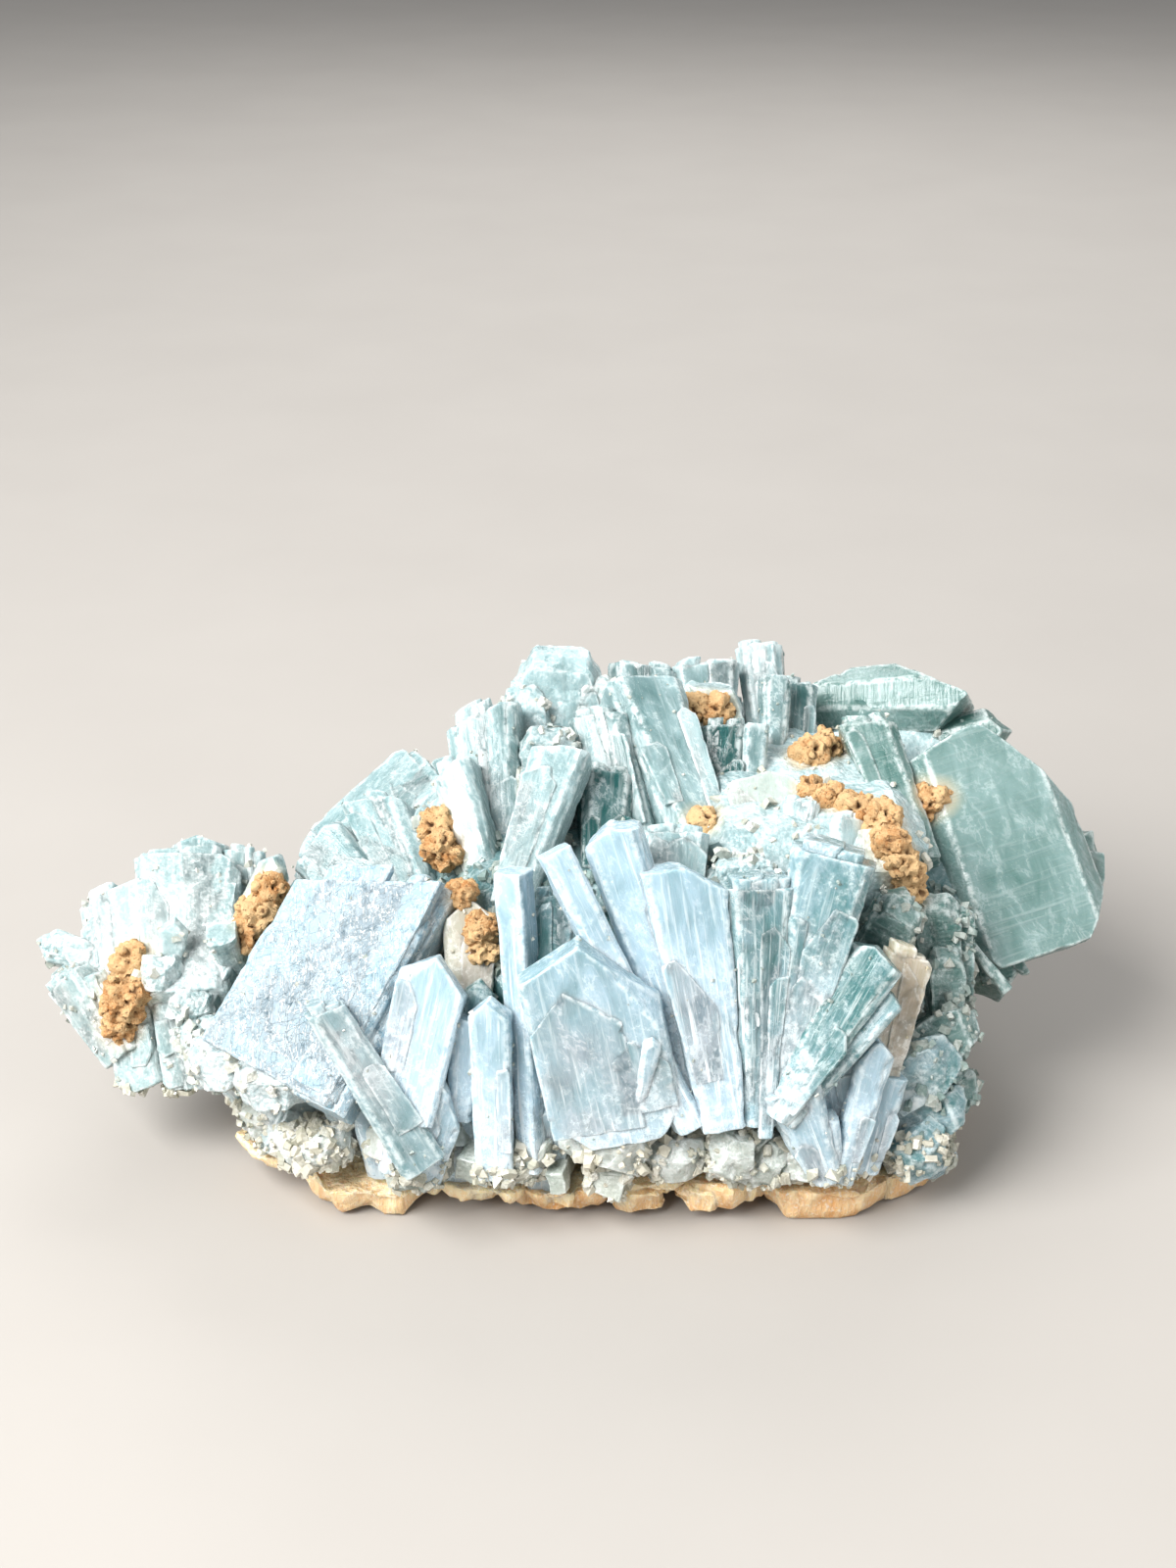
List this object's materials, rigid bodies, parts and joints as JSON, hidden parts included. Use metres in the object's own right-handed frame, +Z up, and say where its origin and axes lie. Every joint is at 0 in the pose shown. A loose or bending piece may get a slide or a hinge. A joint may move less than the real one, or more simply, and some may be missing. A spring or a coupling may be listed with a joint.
{
  "type": "blue barite specimen",
  "caption": "Mineral specimen: intergrown pale blue tabular and prismatic barite crystals on a honey-coloured crust, with ochre clay in the pockets between them.",
  "frame": {"origin": "on the surface the specimen rests on, below the middle of its bounding box", "axes": "+X along the long direction, towards the giant blades; -Y towards the show side; +Z up"},
  "size_m": [0.1734, 0.1094, 0.0677],
  "materials": {
    "barite": "translucent pale blue crystal with white frosting",
    "honey_crust": "waxy honey-coloured crystal crust",
    "clay": "dull crumbly ochre clay"
  },
  "bodies": {
    "root": {"barite_cluster": "barite", "crust_base": "honey_crust", "clay_lobe_pocket": "clay", "clay_lobe_slot": "clay", "clay_left_pocket": "clay", "clay_left_step": "clay", "clay_centre_pocket": "clay", "clay_top_saddle": "clay", "clay_shelf": "clay", "clay_back_notch": "clay", "clay_seam": "clay", "clay_column_patch": "clay"}
  },
  "joints": []
}
